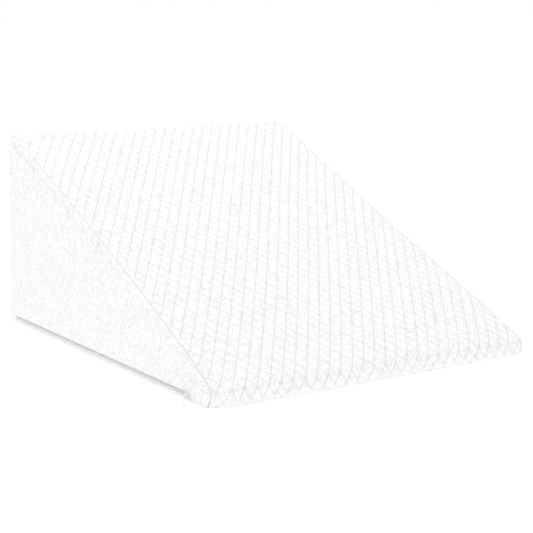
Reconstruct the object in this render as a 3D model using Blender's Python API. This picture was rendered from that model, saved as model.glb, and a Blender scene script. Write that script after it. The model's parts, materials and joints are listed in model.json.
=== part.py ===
"""A foam wedge pillow in its sewn knit cover, standing on its base.

Metres, +Z up. The thin front lip faces -Y, the tall back faces +Y, and the side with the zip faces -X.
The origin is under the middle of the whole part, zip pull included.
"""

import math

import bmesh
import bpy
from mathutils import Matrix, Vector

MM = 0.001

# Driving sizes of the stuffed wedge
WIDTH = 600 * MM
LENGTH = 700 * MM
BACK_HEIGHT = 341 * MM  # where the lines of the back and the slope would meet
LIP_HEIGHT = 27 * MM

# How the slope leaves its straight line from lip to back
ROLL_RISE = 4.5 * MM  # it climbs fast behind the lip, then eases off
ROLL_SPAN = 0.07  # share of the length in which it climbs
CROWN = 6 * MM  # extra height along the middle of the slope
DRAW_IN = 7.5 * MM  # pull of the cover on each side panel, most at half length on the slope's seam
DRAW_IN_POWER = 1.5  # how fast that pull grows from the base up to the seam
LEAN_IN = 7 * MM  # each side panel leans in by this much at full height
BACK_BULGE = 4 * MM
LIP_BULGE = 2 * MM
BULGE_SHARE = 0.08  # share of the length, at each end, that these two bulges reach into

# The front corner by the zip is rounder than the other one, seen from above
ROUND_CORNER_REACH = 60 * MM  # along the lip, from the side's plane
ROUND_CORNER_SETBACK = 33 * MM  # at the foot of the lip
ROUND_CORNER_TOP_SHARE = 0.45  # and this share of it at the top of the lip
ROUND_CORNER_POWER = 2.6
ROUND_CORNER_FADE = 0.16  # share of the length over which the setback dies out

# How a side panel rolls over to its seam: its reach in X, and its depth in from each edge of the wedge
SEAM_INSET = 10 * MM
ROLL_TOP = 8 * MM
ROLL_FRONT = 12 * MM
ROLL_BACK = 22 * MM
ROLL_BOTTOM = 12 * MM
CORNER_LIFT = 9 * MM  # the lower corners of a side panel curl up by this much more
CORNER_REACH = 70 * MM  # over this much of the side's length
SEAM_X = WIDTH / 2 - SEAM_INSET

# Radii of the wedge's own edges, seen from the side
RADIUS_LIP_FOOT = 8 * MM
RADIUS_LIP_TOP = 7 * MM
RADIUS_RIDGE = 12 * MM
RADIUS_HEEL = 13 * MM
RADIUS_GROWTH = 0.5  # the heel is rounder towards the side's plane, by this share of the roll
TANGENT_STEP = 12 * MM  # how far from a corner the slope's direction there is read

# The sewn channel between the slope's panel and each side panel
CHANNEL_HALF_WIDTH = 1.6 * MM
CHANNEL_DEPTH = 1.5 * MM

# Mesh steps
LONG_STEPS = 30
SHORT_STEPS = 6
HALF_CORNER_STEPS = 3
HALF_WRAP_STEPS = 8  # from the middle to a side panel, closer together near the side
ROLL_ANGLES = (16, 36, 56, 74, 90)  # degrees round the roll, from the seam to the side's plane
LONG_COUNT = LONG_STEPS + 2 * HALF_CORNER_STEPS  # steps along the base or the slope, half corners included
SHORT_COUNT = SHORT_STEPS + 2 * HALF_CORNER_STEPS  # steps up the lip or the back
SHARP_ANGLE = math.radians(40)
BASE_LEVEL = 0.003 * MM  # a face no higher than this belongs to the flat base

# The zip along the lower edge of the -X side
ZIP_HEIGHT = 12.5 * MM
ZIP_FRONT = -295 * MM
ZIP_BACK = 312 * MM
SLOT_HEIGHT = 11 * MM
SLOT_DEPTH = 3.4 * MM
SLOT_RADIUS = 1.0 * MM
SLOT_CUTTER_REACH = 10 * MM  # how far the slot's cutter stands out of the side
GAP = 0.3 * MM
TAPE_HEIGHT = SLOT_HEIGHT - 2 * GAP
TAPE_THICKNESS = 1.0 * MM
TAPE_RADIUS = 0.3 * MM
COIL_HEIGHT = 5.0 * MM
COIL_THICKNESS = 1.9 * MM
COIL_RADIUS = 0.7 * MM
SLIDER_LENGTH = 11 * MM
SLIDER_HEIGHT = 8.4 * MM
SLIDER_THICKNESS = 3.8 * MM
SLIDER_RADIUS = 1.2 * MM
BRIDGE_LENGTH = 8 * MM
BRIDGE_WIDTH = 2.0 * MM
BRIDGE_BAR = 1.1 * MM
BRIDGE_ROOM = 2.7 * MM  # clear height under the bridge
PULL_WIRE = 0.65 * MM  # radius of the pull's ring
PULL_RING = 3.7 * MM  # radius of the ring's middle line
PULL_RING_STEPS = 24
TAB_LENGTH = 17 * MM
TAB_WIDTH = 7 * MM
TAB_NECK = 4 * MM
TAB_THICKNESS = 1.6 * MM
TAB_RADIUS = 0.7 * MM
TAB_SINK = 1.0 * MM  # the tab starts this far inside the ring's wire
PULL_DROOP = math.radians(27)  # below level, so that the tab's tip just clears the floor
PULL_SWING = math.radians(57)  # round from straight out towards the front

SIDE_X = -WIDTH / 2
TAPE_X = SIDE_X + SLOT_DEPTH - GAP  # the tape's inner face
COIL_X = TAPE_X - TAPE_THICKNESS - GAP
SLIDER_X = COIL_X - SLIDER_THICKNESS  # the slider's outer face
COIL_FRONT = ZIP_FRONT + GAP + SLIDER_LENGTH + GAP

# The pull's own directions, and how far it stands out from the side
PULL_LEVEL = Vector((-math.cos(PULL_SWING), -math.sin(PULL_SWING), 0))
PULL_ALONG = PULL_LEVEL * math.cos(PULL_DROOP) - Vector((0, 0, math.sin(PULL_DROOP)))
PULL_AXIS = PULL_LEVEL.cross(Vector((0, 0, 1)))
PULL_START = Vector((SLIDER_X - BRIDGE_ROOM / 2, ZIP_FRONT + GAP + SLIDER_LENGTH / 2, ZIP_HEIGHT))
TAB_START = PULL_RING + PULL_WIRE - TAB_SINK  # from the ring's centre
PULL_TIP = PULL_START + PULL_ALONG * (PULL_RING + TAB_START + TAB_LENGTH) + PULL_AXIS * (TAB_WIDTH / 2)
PART_SHIFT = (SIDE_X - PULL_TIP.x) / 2


def clear_scene():
    for old in list(bpy.data.objects):
        bpy.data.objects.remove(old, do_unlink=True)


def finish_material(name, colour, roughness, metallic=0.0):
    material = bpy.data.materials.new(name)
    material.use_nodes = True
    shader = material.node_tree.nodes["Principled BSDF"]
    shader.inputs["Base Color"].default_value = (*colour, 1.0)
    shader.inputs["Roughness"].default_value = roughness
    shader.inputs["Metallic"].default_value = metallic
    return material


def make_object(name, bm, material, parent):
    """Turn a bmesh into a named object under the part's empty."""
    bmesh.ops.recalc_face_normals(bm, faces=bm.faces)
    mesh = bpy.data.meshes.new(name)
    bm.to_mesh(mesh)
    bm.free()
    mesh.shade_smooth()
    mesh.set_sharp_from_angle(angle=SHARP_ANGLE)
    mesh.materials.append(material)
    made = bpy.data.objects.new(name, mesh)
    bpy.context.collection.objects.link(made)
    made.parent = parent
    return made


def boolean(target, tool, operation):
    """Keep a cutter or a joined piece as a live Boolean on its target."""
    tool.hide_render = True
    tool.display_type = "WIRE"
    modifier = target.modifiers.new(operation.lower() + "_" + tool.name, "BOOLEAN")
    modifier.operation = operation
    modifier.object = tool


def rounded_box(low, high, bevel, segments=2):
    """A box between two corners, with every edge rounded."""
    bm = bmesh.new()
    bmesh.ops.create_cube(bm, size=1.0)
    low, high = Vector(low), Vector(high)
    bmesh.ops.scale(bm, vec=high - low, verts=bm.verts)
    bmesh.ops.translate(bm, vec=(low + high) / 2, verts=bm.verts)
    bmesh.ops.bevel(bm, geom=bm.edges[:], offset=bevel, segments=segments, profile=0.5, affect="EDGES")
    return bm


# The wedge seen from the side


def slope_height(y):
    """Height of the slope's line at y, before the middle is crowned."""
    along = (y + LENGTH / 2) / LENGTH
    climb = ROLL_RISE * (1 - along) * (1 - math.exp(-max(along, 0.0) / ROLL_SPAN))
    return LIP_HEIGHT + (BACK_HEIGHT - LIP_HEIGHT) * along + climb


def corner_arc(before, corner, after, radius):
    """Points of an arc that rounds a corner, with one point at its middle."""
    to_before = (before - corner).normalized()
    to_after = (after - corner).normalized()
    half = to_before.angle(to_after) / 2
    centre = corner + (to_before + to_after).normalized() * (radius / math.sin(half))
    start = corner + to_before * (radius / math.tan(half)) - centre
    end = corner + to_after * (radius / math.tan(half)) - centre
    turn = start.angle(end)
    steps = 2 * HALF_CORNER_STEPS
    arc = []
    for step in range(steps + 1):
        share = step / steps
        blend = start * math.sin((1 - share) * turn) + end * math.sin(share * turn)
        arc.append(centre + blend / math.sin(turn))
    return arc


def run(start, end, steps, height=None):
    """Points strictly between two ends, straight or at the height that a function of y gives."""
    points = [start.lerp(end, step / steps) for step in range(1, steps)]
    if height is None:
        return points
    rise_start = start.y - height(start.x)
    rise_end = end.y - height(end.x)
    lifted = []
    for step, point in enumerate(points, 1):
        share = step / steps
        level = height(point.x) + rise_start * (1 - share) + rise_end * share
        lifted.append(Vector((point.x, level)))
    return lifted


def corner_nearness(y):
    """1 at the front and back ends of a side panel, falling to 0 along its edge."""
    from_end = LENGTH / 2 - abs(y)
    return max(0.0, 1 - from_end / CORNER_REACH) ** 2


def outline(roll, channel=0.0):
    """One closed outline of the wedge in (y, z), rolled in by a share of each edge's roll depth.

    It runs along the base from the middle of the lip's foot to the middle of the heel, up the back,
    forward down the slope and down the lip, so equal counts of points lie on opposite edges.
    """
    front = -LENGTH / 2 + ROLL_FRONT * roll + channel
    back = LENGTH / 2 - ROLL_BACK * roll - channel

    def top(y):
        slant = (slope_height(y + MM) - slope_height(y - MM)) / (2 * MM)
        return slope_height(y) - (ROLL_TOP * roll + channel) * math.sqrt(1 + slant * slant)

    def base(y):
        return (ROLL_BOTTOM + CORNER_LIFT * corner_nearness(y)) * roll

    foot = Vector((front, base(front)))
    heel = Vector((back, base(back)))
    ridge = Vector((back, top(back)))
    lip = Vector((front, top(front)))
    behind_lip = front + TANGENT_STEP
    before_back = back - TANGENT_STEP
    at_foot = corner_arc(lip, foot, Vector((behind_lip, base(behind_lip))), RADIUS_LIP_FOOT)
    heel_radius = RADIUS_HEEL + RADIUS_GROWTH * ROLL_BACK * roll
    at_heel = corner_arc(Vector((before_back, base(before_back))), heel, ridge, heel_radius)
    at_ridge = corner_arc(heel, ridge, Vector((before_back, top(before_back))), RADIUS_RIDGE)
    at_lip = corner_arc(Vector((behind_lip, top(behind_lip))), lip, foot, RADIUS_LIP_TOP)
    half = HALF_CORNER_STEPS
    points = at_foot[half:] + run(at_foot[-1], at_heel[0], LONG_STEPS, base)
    points += at_heel + run(at_heel[-1], at_ridge[0], SHORT_STEPS)
    points += at_ridge + run(at_ridge[-1], at_lip[0], LONG_STEPS, top)
    points += at_lip + run(at_lip[-1], at_foot[0], SHORT_STEPS)
    return points + at_foot[:half]


def stuffed(point):
    """Where a point of the plain wedge goes once the cover is pulled over the foam."""
    x, y, z = point
    along = min(max((y + LENGTH / 2) / LENGTH, 0.0), 1.0)
    height = min(z / slope_height(y), 1.0)
    across = min(abs(2 * x / WIDTH), 1.0)
    belly = math.sin(math.pi * along)
    centred = 1 - across**2
    near_back = max(0.0, 1 - (1 - along) / BULGE_SHARE)
    near_front = max(0.0, 1 - along / BULGE_SHARE)
    upright = math.sin(math.pi * height)
    from_side = min(max((x + WIDTH / 2) / ROUND_CORNER_REACH, 0.0), 1.0)
    setback = ROUND_CORNER_SETBACK * (1 - from_side) ** ROUND_CORNER_POWER
    setback *= 1 - (1 - ROUND_CORNER_TOP_SHARE) * height
    narrowing = DRAW_IN * belly * height**DRAW_IN_POWER + LEAN_IN * z / BACK_HEIGHT
    x *= 1 - narrowing / (WIDTH / 2)
    y += (BACK_BULGE * near_back - LIP_BULGE * near_front) * centred * upright
    y += setback * max(0.0, 1 - along / ROUND_CORNER_FADE) ** 2
    z += CROWN * centred * belly * height**2
    return Vector((x, y, z))


# The filled solid


def side_panel(loop):
    """Points inside a side outline, blended from its four edges, as rows from base to slope."""
    ridge = LONG_COUNT + SHORT_COUNT
    lip = ridge + LONG_COUNT
    base = loop[: LONG_COUNT + 1]
    back = loop[LONG_COUNT : ridge + 1]
    slope = loop[ridge : lip + 1][::-1]
    front = (loop[lip:] + loop[:1])[::-1]
    rows = []
    for up in range(1, SHORT_COUNT):
        v = up / SHORT_COUNT
        row = []
        for over in range(1, LONG_COUNT):
            u = over / LONG_COUNT
            edges = base[over] * (1 - v) + slope[over] * v + front[up] * (1 - u) + back[up] * u
            ends = (base[0] * (1 - u) + base[-1] * u) * (1 - v) + (slope[0] * (1 - u) + slope[-1] * u) * v
            row.append(edges - ends)
        rows.append(row)
    return rows


def fill_side(bm, ring, loop, x):
    """Close one end of the wedge with its side panel."""
    ridge = LONG_COUNT + SHORT_COUNT
    grid = [ring[: LONG_COUNT + 1]]
    for up, row in enumerate(side_panel(loop), 1):
        inner = [bm.verts.new(stuffed((x, point.x, point.y))) for point in row]
        grid.append([ring[-up]] + inner + [ring[LONG_COUNT + up]])
    grid.append(ring[ridge : ridge + LONG_COUNT + 1][::-1])
    for lower, upper in zip(grid, grid[1:]):
        for over in range(LONG_COUNT):
            bm.faces.new((lower[over], lower[over + 1], upper[over + 1], upper[over]))


def wedge_sections():
    """(x, outline) of every section on the +X half, from the middle out to the side's plane."""
    flat = SEAM_X - CHANNEL_HALF_WIDTH
    plain = outline(0.0)
    angles = [math.pi / 2 * step / HALF_WRAP_STEPS for step in range(HALF_WRAP_STEPS + 1)]
    sections = [(flat * math.sin(angle), plain) for angle in angles]
    channel = outline(0.0, CHANNEL_DEPTH)
    for place, point in enumerate(plain):
        if point.y <= ROLL_BOTTOM:  # the channel ends at the roll to the base
            channel[place] = point
    sections.append((SEAM_X, channel))
    for degrees in ROLL_ANGLES:
        angle = math.radians(degrees)
        sections.append((SEAM_X + SEAM_INSET * math.sin(angle), outline(1 - math.cos(angle))))
    return sections


def make_pillow(material, parent):
    """The filled cushion: slope, lip, back, base and two side panels as one solid."""
    bm = bmesh.new()
    right = wedge_sections()
    sections = [(-x, loop) for x, loop in right[:0:-1]] + right
    rings = []
    for x, loop in sections:
        rings.append([bm.verts.new(stuffed((x, point.x, point.y))) for point in loop])
    for ring, following in zip(rings, rings[1:]):
        for place in range(len(ring)):
            after = (place + 1) % len(ring)
            bm.faces.new((ring[place], ring[after], following[after], following[place]))
    fill_side(bm, rings[0], sections[0][1], sections[0][0])
    fill_side(bm, rings[-1], sections[-1][1], sections[-1][0])
    flat = [face for face in bm.faces if all(vert.co.z < BASE_LEVEL for vert in face.verts)]
    bmesh.ops.dissolve_faces(bm, faces=flat, use_verts=True)
    return make_object("pillow", bm, material, parent)


# The zip


def make_tape(material, parent):
    """The woven tape, a straight strip on the floor of the slot."""
    low = (TAPE_X - TAPE_THICKNESS, ZIP_FRONT + GAP, ZIP_HEIGHT - TAPE_HEIGHT / 2)
    high = (TAPE_X, ZIP_BACK - GAP, ZIP_HEIGHT + TAPE_HEIGHT / 2)
    return make_object("zip_tape", rounded_box(low, high, TAPE_RADIUS), material, parent)


def make_coil(material, parent):
    """The closed coil of teeth along the middle of the tape, up to the slider."""
    low = (COIL_X - COIL_THICKNESS, COIL_FRONT, ZIP_HEIGHT - COIL_HEIGHT / 2)
    high = (COIL_X, ZIP_BACK - GAP, ZIP_HEIGHT + COIL_HEIGHT / 2)
    return make_object("zip_coil", rounded_box(low, high, COIL_RADIUS), material, parent)


def make_slider(material, parent):
    """The slider's body at the front end of the coil, with the bridge that holds the pull."""
    front = ZIP_FRONT + GAP
    low = (SLIDER_X, front, ZIP_HEIGHT - SLIDER_HEIGHT / 2)
    high = (COIL_X, front + SLIDER_LENGTH, ZIP_HEIGHT + SLIDER_HEIGHT / 2)
    slider = make_object("zip_slider", rounded_box(low, high, SLIDER_RADIUS, 3), material, parent)
    middle = front + SLIDER_LENGTH / 2
    outer = BRIDGE_LENGTH / 2
    inner = outer - BRIDGE_BAR
    top = BRIDGE_ROOM + BRIDGE_BAR
    foot = -BRIDGE_BAR  # the bridge's feet are sunk into the body by this much
    leg = ((foot, outer), (BRIDGE_ROOM, outer), (top, inner))
    hollow = ((BRIDGE_ROOM, -inner), (foot, -inner))
    profile = [(out, -y) for out, y in leg] + [(out, y) for out, y in leg[::-1]]
    profile += [(out, -y) for out, y in hollow[::-1]] + list(hollow)
    bm = bmesh.new()
    low_z = ZIP_HEIGHT - BRIDGE_WIDTH / 2
    edge = [bm.verts.new((SLIDER_X - out, middle + y, low_z)) for out, y in profile]
    face = bm.faces.new(edge)
    raised = bmesh.ops.extrude_face_region(bm, geom=[face])["geom"]
    lifted = [item for item in raised if isinstance(item, bmesh.types.BMVert)]
    bmesh.ops.translate(bm, vec=(0, 0, BRIDGE_WIDTH), verts=lifted)
    bridge = make_object("slider_bridge", bm, material, parent)
    boolean(slider, bridge, "UNION")
    return slider


def make_pull(material, parent):
    """The pull: a wire ring through the slider's bridge, with a small flat tab."""
    bm = bmesh.new()
    bmesh.ops.create_circle(bm, segments=8, radius=PULL_WIRE)
    bmesh.ops.rotate(bm, matrix=Matrix.Rotation(math.pi / 2, 3, "X"), verts=bm.verts)
    bmesh.ops.translate(bm, vec=(PULL_RING, 0, 0), verts=bm.verts)
    wire = bm.verts[:] + bm.edges[:]
    about = {"cent": (0, 0, 0), "axis": (0, 0, 1), "angle": math.tau}
    bmesh.ops.spin(bm, geom=wire, steps=PULL_RING_STEPS, use_merge=True, **about)
    ring = make_object("zip_pull", bm, material, parent)
    low = (TAB_START, -TAB_THICKNESS / 2, -TAB_WIDTH / 2)
    high = (TAB_START + TAB_LENGTH, TAB_THICKNESS / 2, TAB_WIDTH / 2)
    tab_mesh = rounded_box(low, high, TAB_RADIUS)
    for vert in tab_mesh.verts:
        share = (vert.co.x - TAB_START) / TAB_LENGTH
        vert.co.z *= (TAB_NECK + (TAB_WIDTH - TAB_NECK) * share) / TAB_WIDTH
    tab = make_object("pull_tab", tab_mesh, material, parent)
    boolean(ring, tab, "UNION")
    turn = Matrix((PULL_ALONG, PULL_AXIS.cross(PULL_ALONG), PULL_AXIS)).transposed().to_4x4()
    place = Matrix.Translation(PULL_START + PULL_ALONG * PULL_RING) @ turn
    for piece in (ring, tab):
        piece.matrix_local = place
    return ring


def main():
    clear_scene()
    middle = bpy.data.objects.new("part_middle", None)
    bpy.context.collection.objects.link(middle)
    middle.location.x = PART_SHIFT

    knit = finish_material("white_knit", (0.93, 0.93, 0.93), 0.85)
    tape = finish_material("white_tape", (0.88, 0.88, 0.88), 0.75)
    coil = finish_material("white_nylon", (0.84, 0.84, 0.85), 0.45)
    enamel = finish_material("white_enamel", (0.90, 0.90, 0.90), 0.3)

    pillow = make_pillow(knit, middle)
    slot_low = (SIDE_X - SLOT_CUTTER_REACH, ZIP_FRONT, ZIP_HEIGHT - SLOT_HEIGHT / 2)
    slot_high = (SIDE_X + SLOT_DEPTH, ZIP_BACK, ZIP_HEIGHT + SLOT_HEIGHT / 2)
    slot = make_object("zip_slot", rounded_box(slot_low, slot_high, SLOT_RADIUS), knit, middle)
    boolean(pillow, slot, "DIFFERENCE")

    make_tape(tape, middle)
    make_coil(coil, middle)
    make_slider(enamel, middle)
    make_pull(enamel, middle)


main()
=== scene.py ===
# %% [markdown]
# # A foam wedge pillow in a white knit cover
#
# The object is a bed wedge: a block of foam inside a sewn cover that zips along one lower edge.
# The cover is a thick double knit. Sunken lines cross it in long diamonds and the cells between
# them stand a little proud. This lesson dresses the plain wedge that was made in CAD: it lays real
# cloth panels over its form, sews them together, adds the zip, and lights it like a catalogue photo.
#
# The CAD model is a fixed frame.

# %% Load the frame
import json
import math

import bmesh
import bpy
import numpy as np
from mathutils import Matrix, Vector, kdtree

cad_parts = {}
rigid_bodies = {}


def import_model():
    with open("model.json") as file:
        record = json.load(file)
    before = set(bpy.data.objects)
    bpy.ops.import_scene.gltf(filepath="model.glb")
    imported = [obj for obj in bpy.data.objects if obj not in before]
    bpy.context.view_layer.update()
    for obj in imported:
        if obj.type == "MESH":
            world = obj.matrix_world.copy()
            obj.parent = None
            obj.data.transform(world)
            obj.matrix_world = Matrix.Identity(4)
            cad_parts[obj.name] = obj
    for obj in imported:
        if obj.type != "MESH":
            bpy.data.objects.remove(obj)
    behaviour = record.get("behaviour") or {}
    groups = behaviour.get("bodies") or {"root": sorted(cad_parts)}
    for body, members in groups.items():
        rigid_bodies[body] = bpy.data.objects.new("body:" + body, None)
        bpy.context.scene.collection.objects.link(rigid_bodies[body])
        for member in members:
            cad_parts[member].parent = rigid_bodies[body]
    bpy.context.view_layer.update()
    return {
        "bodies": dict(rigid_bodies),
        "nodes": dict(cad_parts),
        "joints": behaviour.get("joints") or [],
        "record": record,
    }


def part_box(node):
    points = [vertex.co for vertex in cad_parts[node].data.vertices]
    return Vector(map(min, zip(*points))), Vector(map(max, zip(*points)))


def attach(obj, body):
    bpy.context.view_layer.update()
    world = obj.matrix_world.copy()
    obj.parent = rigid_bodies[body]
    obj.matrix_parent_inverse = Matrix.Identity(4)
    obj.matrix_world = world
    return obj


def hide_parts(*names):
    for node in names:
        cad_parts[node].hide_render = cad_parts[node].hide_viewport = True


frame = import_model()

MM = 0.001
PILLOW_LOW, PILLOW_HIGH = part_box("pillow")
MIDDLE_X = (PILLOW_LOW.x + PILLOW_HIGH.x) / 2
print("pillow box", [round(value / MM, 1) for value in (*PILLOW_LOW, *PILLOW_HIGH)])


def linked(name, data):
    """A new object in the scene."""
    made = bpy.data.objects.new(name, data)
    bpy.context.collection.objects.link(made)
    return made



# %% [markdown]
# ## The wedge's own sizes
#
# A wedge is ruled by a few sizes: its width, its length, and the heights of its back and its lip.
# The rest says how the cover's pull changes the plain block: the slope rises fast behind the lip,
# the sides draw in, and the front corner by the zip is rounder than the other one. The values are
# those of the CAD solid, so the cloth lies on it.

# %% Driving sizes
WIDTH = 600 * MM
LENGTH = 700 * MM
BACK_HEIGHT = 341 * MM
LIP_HEIGHT = 27 * MM
ROLL_RISE = 4.5 * MM
ROLL_SPAN = 0.07
CROWN = 6 * MM
DRAW_IN = 7.5 * MM
DRAW_IN_POWER = 1.5
LEAN_IN = 7 * MM
BACK_BULGE = 4 * MM
LIP_BULGE = 2 * MM
BULGE_SHARE = 0.08
ROUND_CORNER_REACH = 60 * MM
ROUND_CORNER_SETBACK = 33 * MM
ROUND_CORNER_TOP_SHARE = 0.45
ROUND_CORNER_POWER = 2.6
ROUND_CORNER_FADE = 0.16


# %% Height of the slope
def slope_height(y):
    """Height of the slope's line over the base at y."""
    along = (y + LENGTH / 2) / LENGTH
    climb = ROLL_RISE * (1 - along) * (1 - np.exp(-np.maximum(along, 0.0) / ROLL_SPAN))
    return LIP_HEIGHT + (BACK_HEIGHT - LIP_HEIGHT) * along + climb


print("slope at mid length", round(float(slope_height(0.0)) / MM, 1), "mm")


# %% The pull of the cover on the block
def stuffed(points):
    """Move points of the plain wedge, as rows of x, y, z, to where the stuffed one has them."""
    x, y, z = points.T
    along = np.clip((y + LENGTH / 2) / LENGTH, 0.0, 1.0)
    height = np.minimum(z / slope_height(y), 1.0)
    across = np.minimum(np.abs(2 * x / WIDTH), 1.0)
    belly = np.sin(math.pi * along)
    centred = 1 - across**2
    near_back = np.maximum(0.0, 1 - (1 - along) / BULGE_SHARE)
    near_front = np.maximum(0.0, 1 - along / BULGE_SHARE)
    upright = np.sin(math.pi * height)
    from_side = np.clip((x + WIDTH / 2) / ROUND_CORNER_REACH, 0.0, 1.0)
    setback = ROUND_CORNER_SETBACK * (1 - from_side) ** ROUND_CORNER_POWER
    setback = setback * (1 - (1 - ROUND_CORNER_TOP_SHARE) * height)
    narrowing = DRAW_IN * belly * np.abs(height) ** DRAW_IN_POWER + LEAN_IN * z / BACK_HEIGHT
    new_x = x * (1 - narrowing / (WIDTH / 2)) + MIDDLE_X
    new_y = y + (BACK_BULGE * near_back - LIP_BULGE * near_front) * centred * upright
    new_y = new_y + setback * np.maximum(0.0, 1 - along / ROUND_CORNER_FADE) ** 2
    new_z = z + CROWN * centred * belly * height**2
    return np.stack([new_x, new_y, new_z], axis=1)


# %% [markdown]
# ## The wedge's outline, and how a side rolls over to its seam
#
# Seen from the side, the wedge is one closed outline with four rounded corners. The side panel is
# flat in its middle and rolls over at its edge to the seam, so the outline shrinks as the roll
# goes on. One function gives the outline for any share of the roll, with the same count of points
# each time. The cloth can then slide from one outline to the next point by point.

# %% The roll and the corners
SEAM_INSET = 10 * MM
ROLL_TOP = 8 * MM
ROLL_FRONT = 12 * MM
ROLL_BACK = 22 * MM
ROLL_BOTTOM = 12 * MM
CORNER_LIFT = 9 * MM
CORNER_REACH = 70 * MM
SEAM_X = WIDTH / 2 - SEAM_INSET
RADIUS_LIP_FOOT = 8 * MM
RADIUS_LIP_TOP = 7 * MM
RADIUS_RIDGE = 12 * MM
RADIUS_HEEL = 13 * MM
RADIUS_GROWTH = 0.5
LIP_SHARPENING = 0.85  # the lip is too thin to keep its radii all the way round the roll
TANGENT_STEP = 12 * MM
LONG_STEPS = 120
SHORT_STEPS = 30
HALF_CORNER_STEPS = 6
LONG_COUNT = LONG_STEPS + 2 * HALF_CORNER_STEPS


# %% Rounded corner
def corner_arc(before, corner, after, radius):
    """Points of an arc that rounds a corner of the outline."""
    before, corner, after = (np.array(point, float) for point in (before, corner, after))
    to_before = (before - corner) / np.linalg.norm(before - corner)
    to_after = (after - corner) / np.linalg.norm(after - corner)
    half = math.acos(np.clip(to_before @ to_after, -1.0, 1.0)) / 2
    inward = (to_before + to_after) / np.linalg.norm(to_before + to_after)
    centre = corner + inward * (radius / math.sin(half))
    start = corner + to_before * (radius / math.tan(half)) - centre
    end = corner + to_after * (radius / math.tan(half)) - centre
    turn = math.pi - 2 * half
    share = np.linspace(0.0, 1.0, 2 * HALF_CORNER_STEPS + 1)[:, None]
    return centre + (start * np.sin((1 - share) * turn) + end * np.sin(share * turn)) / math.sin(turn)


# %% Straight or curved run between two corners
def run(start, end, steps, height=None):
    """Points strictly between two ends, straight or riding on the height that a function gives."""
    share = np.linspace(0.0, 1.0, steps + 1)[1:-1]
    points = start + (end - start) * share[:, None]
    if height is not None:
        rise_start = start[1] - height(start[0])
        rise_end = end[1] - height(end[0])
        points[:, 1] = height(points[:, 0]) + rise_start * (1 - share) + rise_end * share
    return points


# %% The whole outline
def outline(roll):
    """Closed outline in y, z at a share of the roll: base, heel, back, ridge, slope, lip, foot."""
    front = -LENGTH / 2 + ROLL_FRONT * roll
    back = LENGTH / 2 - ROLL_BACK * roll

    def top(y):
        slant = (slope_height(y + MM) - slope_height(y - MM)) / (2 * MM)
        return slope_height(y) - ROLL_TOP * roll * np.sqrt(1 + slant * slant)

    def base(y):
        from_end = LENGTH / 2 - np.abs(y)
        nearness = np.maximum(0.0, 1 - from_end / CORNER_REACH) ** 2
        return (ROLL_BOTTOM + CORNER_LIFT * nearness) * roll

    foot, heel = (front, base(front)), (back, base(back))
    ridge, lip = (back, top(back)), (front, top(front))
    behind_lip, before_back = front + TANGENT_STEP, back - TANGENT_STEP
    lip_scale = 1 - LIP_SHARPENING * roll
    at_foot = corner_arc(lip, foot, (behind_lip, base(behind_lip)), RADIUS_LIP_FOOT * lip_scale)
    heel_radius = RADIUS_HEEL + RADIUS_GROWTH * ROLL_BACK * roll
    at_heel = corner_arc((before_back, base(before_back)), heel, ridge, heel_radius)
    at_ridge = corner_arc(heel, ridge, (before_back, top(before_back)), RADIUS_RIDGE)
    at_lip = corner_arc((behind_lip, top(behind_lip)), lip, foot, RADIUS_LIP_TOP * lip_scale)
    return np.concatenate([
        at_foot[HALF_CORNER_STEPS:],
        run(at_foot[-1], at_heel[0], LONG_STEPS, base),
        at_heel,
        run(at_heel[-1], at_ridge[0], SHORT_STEPS),
        at_ridge,
        run(at_ridge[-1], at_lip[0], LONG_STEPS, top),
        at_lip,
        run(at_lip[-1], at_foot[0], SHORT_STEPS),
        at_foot[:HALF_CORNER_STEPS],
    ])


OUTER = outline(0.0)
INNER = outline(1.0)
print("outline points", len(OUTER))


# %% [markdown]
# ## Finishes as sums
#
# A finish is a network of nodes, and a network is easier to read as arithmetic. A small class wraps
# a socket, so that plus, minus and times on it add Math nodes. Any other node comes from one method
# that takes the node's type, its settings, and what goes into its sockets. Values that are the same
# all over a surface are set on the shader's own socket.


# %% A socket that can be used in sums
class Socket:
    """The output of a node, ready for arithmetic."""

    def __init__(self, finish, output):
        self.finish = finish
        self.output = output

    def math(self, operation, first, second):
        return self.finish.node("ShaderNodeMath", {"operation": operation}, {0: first, 1: second})

    def __add__(self, other):
        return self.math("ADD", self, other)

    def __sub__(self, other):
        return self.math("SUBTRACT", self, other)

    def __rsub__(self, other):
        return self.math("SUBTRACT", other, self)

    def __mul__(self, other):
        return self.math("MULTIPLY", self, other)

    __radd__ = __add__
    __rmul__ = __mul__


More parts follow.
